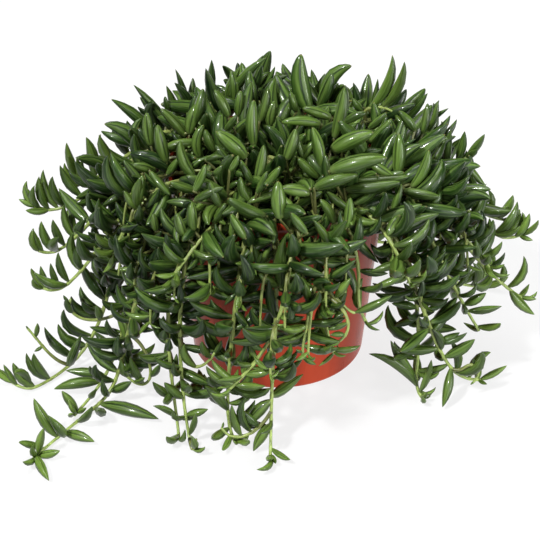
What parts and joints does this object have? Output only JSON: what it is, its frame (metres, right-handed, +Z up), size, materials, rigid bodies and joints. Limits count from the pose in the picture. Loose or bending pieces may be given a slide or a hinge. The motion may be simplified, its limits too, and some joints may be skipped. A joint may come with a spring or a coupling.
{
  "type": "potted string of bananas",
  "caption": "Trailing succulent with banana-shaped leaves in a conical plastic nursery pot; the stems arch over the rim and hang to the surface.",
  "frame": {"origin": "middle of the pot's base, on the surface that the pot stands on", "axes": "+Z up along the pot's axis, +X to the viewer's right and -Y towards the viewer, with the longest trails at -X -Y"},
  "size_m": [0.3275, 0.2757, 0.1715],
  "materials": {
    "pot": "satin",
    "soil": "matte",
    "foliage": "satin"
  },
  "bodies": {
    "root": {"pot": "pot", "soil": "soil", "trail_01": "foliage", "trail_02": "foliage", "trail_03": "foliage", "trail_04": "foliage", "trail_05": "foliage", "trail_06": "foliage", "trail_07": "foliage", "trail_08": "foliage", "trail_09": "foliage", "trail_10": "foliage", "trail_11": "foliage", "trail_12": "foliage", "trail_13": "foliage", "trail_14": "foliage", "trail_15": "foliage", "trail_16": "foliage", "trail_17": "foliage", "trail_18": "foliage", "trail_19": "foliage", "trail_20": "foliage", "trail_21": "foliage", "trail_22": "foliage", "trail_23": "foliage", "trail_24": "foliage", "trail_25": "foliage", "trail_26": "foliage", "trail_27": "foliage", "trail_28": "foliage", "trail_29": "foliage", "trail_30": "foliage", "trail_31": "foliage", "trail_32": "foliage", "trail_33": "foliage", "trail_34": "foliage", "trail_35": "foliage", "trail_36": "foliage", "shoot_01": "foliage", "shoot_02": "foliage", "shoot_03": "foliage", "shoot_04": "foliage", "shoot_05": "foliage", "shoot_06": "foliage", "shoot_07": "foliage", "shoot_08": "foliage", "shoot_09": "foliage", "shoot_10": "foliage", "shoot_11": "foliage", "shoot_12": "foliage", "shoot_13": "foliage", "shoot_14": "foliage", "shoot_15": "foliage", "shoot_16": "foliage", "shoot_17": "foliage", "shoot_18": "foliage", "shoot_19": "foliage", "shoot_20": "foliage", "shoot_21": "foliage"}
  },
  "joints": []
}
